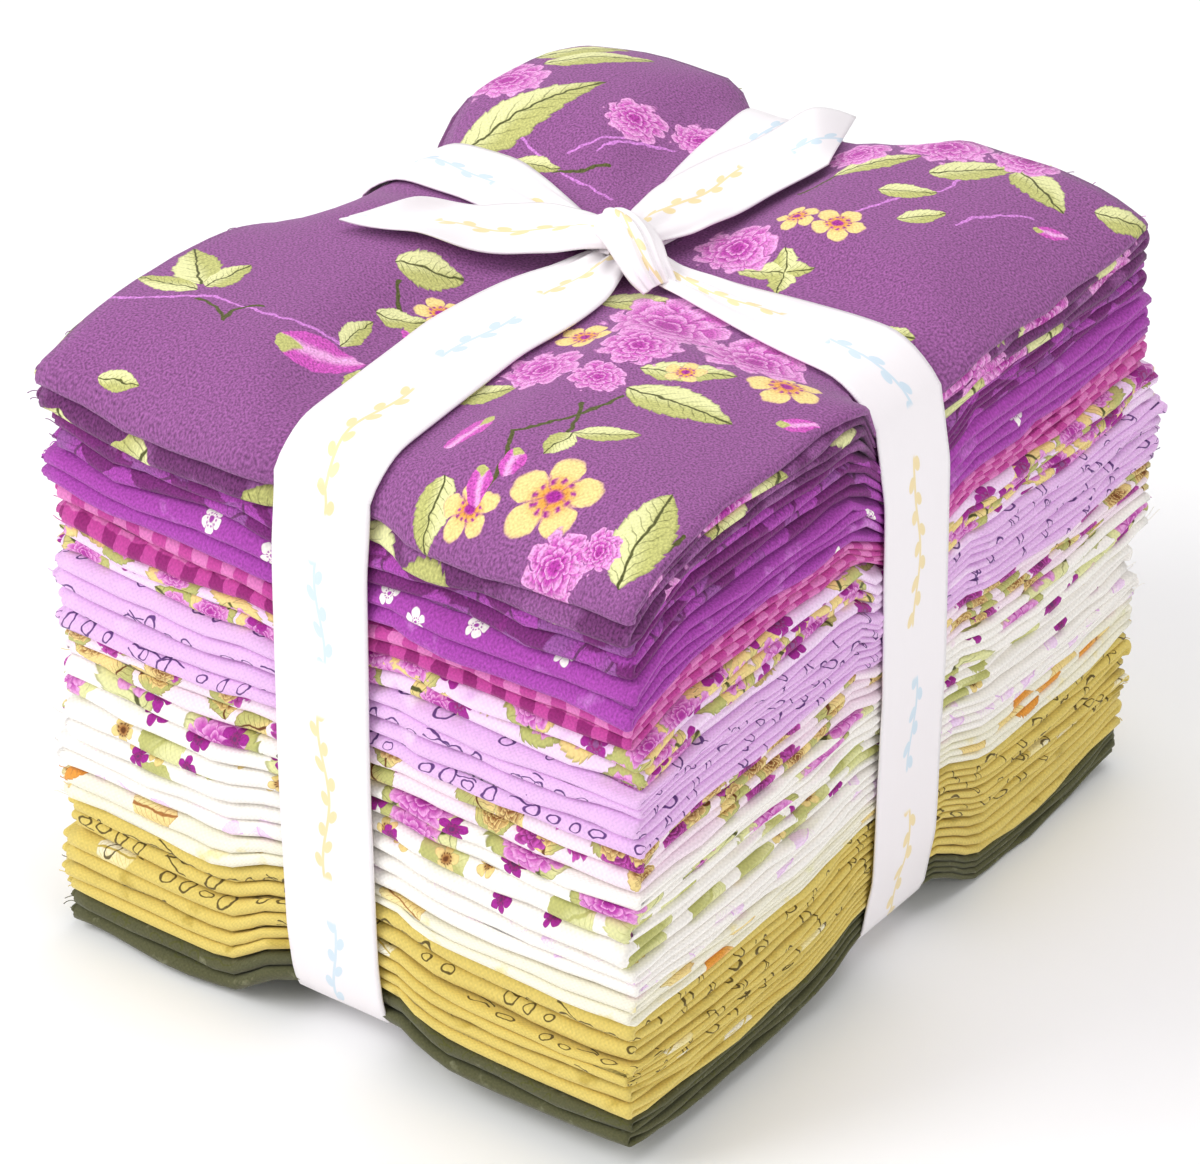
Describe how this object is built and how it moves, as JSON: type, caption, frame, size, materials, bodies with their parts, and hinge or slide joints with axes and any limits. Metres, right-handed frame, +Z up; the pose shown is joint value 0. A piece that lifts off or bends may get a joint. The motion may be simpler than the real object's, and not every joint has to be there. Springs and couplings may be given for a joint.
{
  "type": "fat quarter bundle",
  "caption": "Block of folded printed quilting cottons in purple, lilac, white and gold, stacked and tied both ways with a white satin ribbon knotted on top.",
  "frame": {"origin": "under the middle of the stack, on the surface that it rests on", "axes": "+Z up the stack; the rounded folds face -Y; the layered edges face +X"},
  "size_m": [0.1196, 0.1526, 0.1176],
  "materials": {
    "cloth_01_plum_floral": "plum cotton, large floral print",
    "cloth_02_purple_tonal": "purple cotton, tonal print",
    "cloth_03_orchid_sprig": "orchid cotton, small white flowers",
    "cloth_04_pink_gingham": "pink and plum gingham cotton",
    "cloth_05_lilac_floral": "lilac cotton, small floral print",
    "cloth_06_lilac_loops": "lilac cotton, pen loops",
    "cloth_07_lilac_loops": "lilac cotton, pen loops",
    "cloth_08_brown_gold_floral": "white cotton, brown and gold floral print",
    "cloth_09_pink_plum_floral": "white cotton, pink and plum floral print",
    "cloth_10_green_leaf": "white cotton, green and gold leaves",
    "cloth_11_faint_lilac": "white cotton, faint lilac flecks",
    "cloth_12_cream_mottled": "cream cotton, mottled print",
    "cloth_13_golden_loops": "golden cotton, pen loops",
    "cloth_14_golden_loops": "golden cotton, pen loops",
    "cloth_15_golden_plain": "golden cotton",
    "cloth_16_dark_olive": "dark olive cotton, mottled print",
    "ribbon": "white satin ribbon"
  },
  "bodies": {
    "root": {"cloth_01_plum_floral": "cloth_01_plum_floral", "cloth_02_purple_tonal": "cloth_02_purple_tonal", "cloth_03_orchid_sprig": "cloth_03_orchid_sprig", "cloth_04_pink_gingham": "cloth_04_pink_gingham", "cloth_05_lilac_floral": "cloth_05_lilac_floral", "cloth_06_lilac_loops": "cloth_06_lilac_loops", "cloth_07_lilac_loops": "cloth_07_lilac_loops", "cloth_08_brown_gold_floral": "cloth_08_brown_gold_floral", "cloth_09_pink_plum_floral": "cloth_09_pink_plum_floral", "cloth_10_green_leaf": "cloth_10_green_leaf", "cloth_11_faint_lilac": "cloth_11_faint_lilac", "cloth_12_cream_mottled": "cloth_12_cream_mottled", "cloth_13_golden_loops": "cloth_13_golden_loops", "cloth_14_golden_loops": "cloth_14_golden_loops", "cloth_15_golden_plain": "cloth_15_golden_plain", "cloth_16_dark_olive": "cloth_16_dark_olive", "ribbon": "ribbon"}
  },
  "joints": []
}
